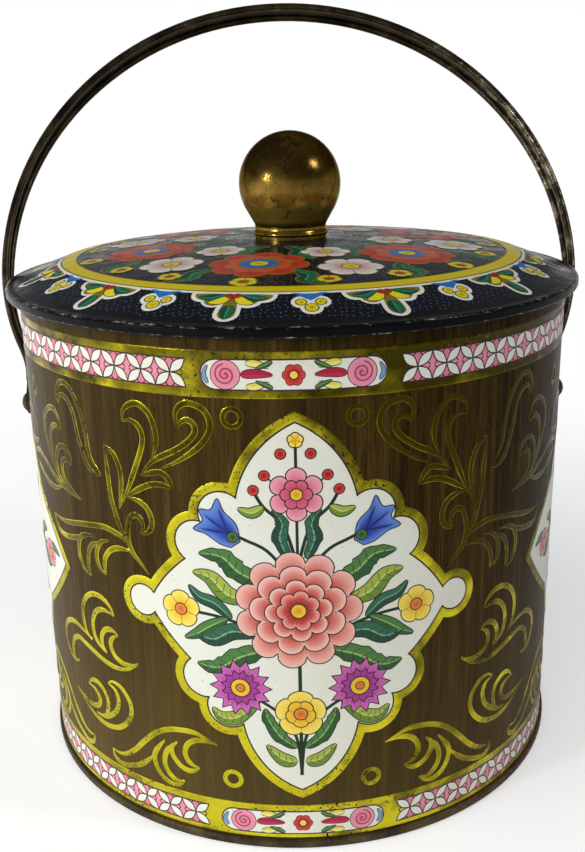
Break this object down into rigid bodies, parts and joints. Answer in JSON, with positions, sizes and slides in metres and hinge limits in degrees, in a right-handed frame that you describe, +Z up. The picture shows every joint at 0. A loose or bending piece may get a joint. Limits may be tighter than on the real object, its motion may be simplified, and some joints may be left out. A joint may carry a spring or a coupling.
{
  "type": "tin biscuit barrel",
  "caption": "Round tinplate biscuit barrel with a lift-off domed lid, a brass ball knob and a swinging bail handle for carrying.",
  "frame": {"origin": "centre of the base on the surface that the tin stands on", "axes": "+Z up along the axis of the tin, -Y towards the front, X along the line of the handle's pivots"},
  "size_m": [0.174, 0.1588, 0.2118],
  "materials": {
    "printed_wall": "glossy litho print, wood brown with gold",
    "base_lacquer": "worn brown lacquer",
    "printed_lid": "glossy litho print, black navy with flowers",
    "bare_tin": "bare tinplate with a thin gold lacquer",
    "knob_brass": "polished brass, scuffed",
    "handle_brass": "dark tarnished brass",
    "rivet_brass": "dull tarnished brass",
    "bare_steel": "plain zinc plated steel"
  },
  "bodies": {
    "tin": {"body_wall": "printed_wall", "bottom_end": "base_lacquer", "pivot_rivet_left": "rivet_brass", "pivot_rivet_right": "rivet_brass", "backing_washer_left": "bare_steel", "backing_washer_right": "bare_steel"},
    "lid": {"lid_cover": "printed_lid", "lid_plug": "bare_tin", "knob_shell": "knob_brass", "knob_base": "knob_brass", "knob_screw": "bare_steel", "knob_washer": "bare_steel"},
    "bail": {"bail_handle": "handle_brass"}
  },
  "joints": [
    {"name": "lid_lift", "type": "slide", "parent": "tin", "child": "lid", "axis": [0, 0, 1], "range_m": [0, 0.026]},
    {"name": "handle_swing", "type": "hinge", "parent": "tin", "child": "bail", "pos_m": [0, 0, 0.0985], "axis": [1, 0, 0], "range_deg": [-106, 166]}
  ]
}
